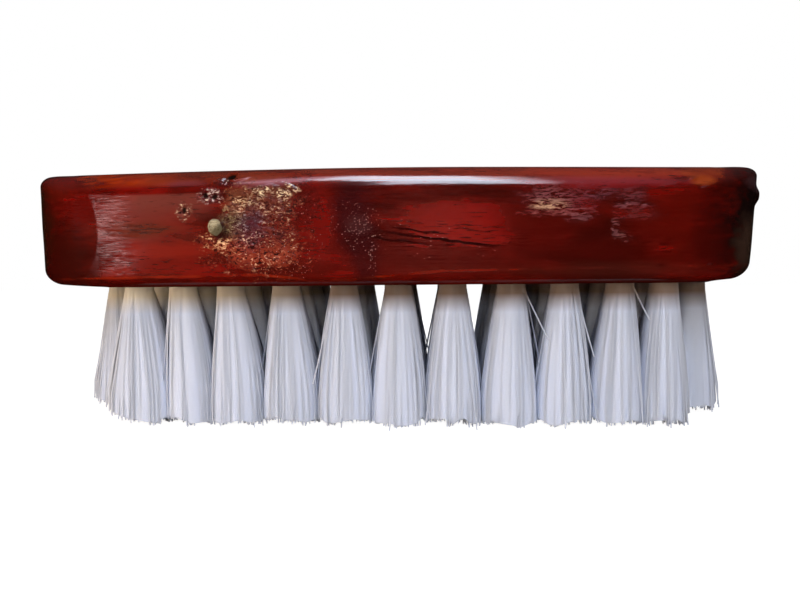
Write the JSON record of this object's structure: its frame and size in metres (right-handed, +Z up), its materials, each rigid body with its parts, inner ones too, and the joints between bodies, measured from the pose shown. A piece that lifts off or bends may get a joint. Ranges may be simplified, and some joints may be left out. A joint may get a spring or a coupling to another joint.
{
  "type": "nail brush",
  "caption": "Wooden nail brush: bowed, round-cornered varnished hardwood block with rows of white bristle tufts set in blind bores on its underside.",
  "frame": {"origin": "on the surface under the bristle tips, below the middle of the block", "axes": "+X along the brush, toward the end on the right in the picture; +Y across it, away from the picture's camera; +Z up through the flat back of the block"},
  "size_m": [0.1, 0.0376, 0.0327],
  "materials": {
    "varnished_wood": "gloss varnish",
    "bristle": "satin nylon",
    "anchor_wire": "drawn wire"
  },
  "bodies": {
    "root": {"block": "varnished_wood", "tuft_r1_01": "bristle", "tuft_r1_02": "bristle", "tuft_r1_03": "bristle", "tuft_r1_04": "bristle", "tuft_r1_05": "bristle", "tuft_r1_06": "bristle", "tuft_r1_07": "bristle", "tuft_r1_08": "bristle", "tuft_r1_09": "bristle", "tuft_r1_10": "bristle", "tuft_r1_11": "bristle", "tuft_r2_01": "bristle", "tuft_r2_02": "bristle", "tuft_r2_03": "bristle", "tuft_r2_04": "bristle", "tuft_r2_05": "bristle", "tuft_r2_06": "bristle", "tuft_r2_07": "bristle", "tuft_r2_08": "bristle", "tuft_r2_09": "bristle", "tuft_r2_10": "bristle", "tuft_r2_11": "bristle", "tuft_r2_12": "bristle", "tuft_r2_13": "bristle", "tuft_r3_01": "bristle", "tuft_r3_02": "bristle", "tuft_r3_03": "bristle", "tuft_r3_04": "bristle", "tuft_r3_05": "bristle", "tuft_r3_06": "bristle", "tuft_r3_07": "bristle", "tuft_r3_08": "bristle", "tuft_r3_09": "bristle", "tuft_r3_10": "bristle", "tuft_r3_11": "bristle", "tuft_r3_12": "bristle", "tuft_r3_13": "bristle", "tuft_r4_01": "bristle", "tuft_r4_02": "bristle", "tuft_r4_03": "bristle", "tuft_r4_04": "bristle", "tuft_r4_05": "bristle", "tuft_r4_06": "bristle", "tuft_r4_07": "bristle", "tuft_r4_08": "bristle", "tuft_r4_09": "bristle", "tuft_r4_10": "bristle", "tuft_r4_11": "bristle", "anchors_row_1": "anchor_wire", "anchors_row_2": "anchor_wire", "anchors_row_3": "anchor_wire", "anchors_row_4": "anchor_wire"}
  },
  "joints": []
}
